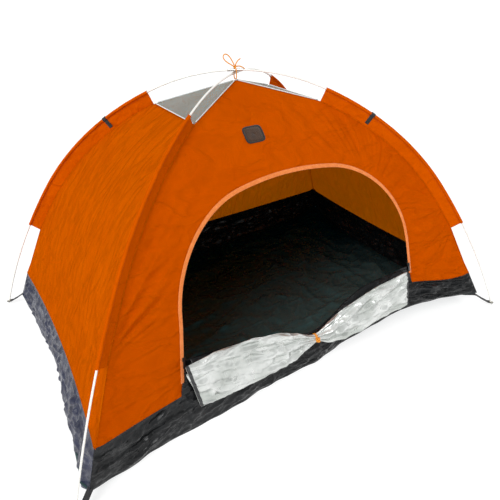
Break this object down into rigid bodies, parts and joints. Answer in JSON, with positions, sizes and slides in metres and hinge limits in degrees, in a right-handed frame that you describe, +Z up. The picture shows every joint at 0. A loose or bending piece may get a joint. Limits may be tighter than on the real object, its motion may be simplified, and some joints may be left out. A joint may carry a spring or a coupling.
{
  "type": "dome tent",
  "caption": "Small two-pole dome tent with a D-shaped door zipped open, its silver-lined flap tied at the sill, mesh roof vents and a dark tub floor.",
  "frame": {"origin": "on the ground under the crossing of the poles", "axes": "+Z up, +X along the door side to the right of someone facing the door, the door faces -Y"},
  "size_m": [2.0098, 1.346, 1.1621],
  "materials": {
    "ground_sheet": "dark woven polyethylene",
    "tub_cloth": "coated polyester, slightly shiny",
    "canopy_cloth": "coated polyester, soft sheen",
    "mosquito_mesh": "fine knitted net",
    "piping": "woven binding",
    "webbing": "flat woven webbing",
    "sleeve_cloth": "coated polyester",
    "fibreglass": "pultruded fibreglass, satin",
    "ferrule_metal": "drawn tube, satin",
    "elastic_cord": "braided cover",
    "end_tip": "moulded",
    "grommet_metal": "plated",
    "badge": "printed patch",
    "zip_tape": "woven tape with a nylon coil",
    "zip_metal": "painted die casting",
    "door_lining": "silver coated polyester",
    "tie_cord": "flat braided cord"
  },
  "bodies": {
    "tent": {"badge_patch": "badge", "canopy_back": "canopy_cloth", "canopy_front": "canopy_cloth", "canopy_left": "canopy_cloth", "canopy_right": "canopy_cloth", "corner_tab_back_left": "webbing", "corner_tab_back_right": "webbing", "corner_tab_front_left": "webbing", "corner_tab_front_right": "webbing", "crown_tie_knot": "tie_cord", "crown_tie_long_tail": "tie_cord", "crown_tie_loop": "tie_cord", "crown_tie_riser": "tie_cord", "crown_tie_short_tail": "tie_cord", "door_apron": "door_lining", "door_zip_tape": "zip_tape", "floor_sheet": "ground_sheet", "grommet_back_left": "grommet_metal", "grommet_back_right": "grommet_metal", "grommet_front_left": "grommet_metal", "grommet_front_right": "grommet_metal", "pole_a_ferrules": "ferrule_metal", "pole_a_segment_1": "fibreglass", "pole_a_segment_2": "fibreglass", "pole_a_segment_3": "fibreglass", "pole_a_segment_4": "fibreglass", "pole_a_segment_5": "fibreglass", "pole_a_segment_6": "fibreglass", "pole_a_shock_cord": "elastic_cord", "pole_b_ferrules": "ferrule_metal", "pole_b_segment_1": "fibreglass", "pole_b_segment_2": "fibreglass", "pole_b_segment_3": "fibreglass", "pole_b_segment_4": "fibreglass", "pole_b_segment_5": "fibreglass", "pole_b_segment_6": "fibreglass", "pole_b_shock_cord": "elastic_cord", "pole_end_tips": "end_tip", "sleeve_back_left": "sleeve_cloth", "sleeve_back_right": "sleeve_cloth", "sleeve_front_left": "sleeve_cloth", "sleeve_front_right": "sleeve_cloth", "sleeve_loops": "webbing", "tub_wall_back": "tub_cloth", "tub_wall_front": "tub_cloth", "tub_wall_left": "tub_cloth", "tub_wall_right": "tub_cloth", "vent_mesh_left": "mosquito_mesh", "vent_mesh_right": "mosquito_mesh", "vent_piping_left": "piping", "vent_piping_right": "piping"},
    "zip_slider_left": {"zip_slider_left": "zip_metal"},
    "zip_slider_right": {"zip_slider_right": "zip_metal"},
    "zip_pull_left": {"zip_pull_left": "zip_metal"},
    "zip_pull_right": {"zip_pull_right": "zip_metal"},
    "door_flap": {"door_flap": "door_lining", "door_flap_tie": "tie_cord"}
  },
  "joints": [
    {"name": "zip_slide_left", "type": "slide", "parent": "tent", "child": "zip_slider_left", "axis": [0.1498, 0.1455, 0.9779], "range_m": [-0.08, 0.08]},
    {"name": "zip_pull_swing_left", "type": "hinge", "parent": "zip_slider_left", "child": "zip_pull_left", "pos_m": [-0.53012, -0.51535, 0.31634], "axis": [-0.9843, -0.0718, 0.1615], "range_deg": [0, 170]},
    {"name": "zip_slide_right", "type": "slide", "parent": "tent", "child": "zip_slider_right", "axis": [-0.1498, 0.1455, 0.9779], "range_m": [-0.025, 0.08]},
    {"name": "zip_pull_swing_right", "type": "hinge", "parent": "zip_slider_right", "child": "zip_pull_right", "pos_m": [0.53012, -0.51535, 0.31634], "axis": [-0.9843, 0.0718, -0.1615], "range_deg": [0, 170]},
    {"name": "door_flap_fold", "type": "hinge", "parent": "tent", "child": "door_flap", "pos_m": [0, -0.538, 0.32], "axis": [-1, 0, 0], "range_deg": [0, 150]}
  ]
}
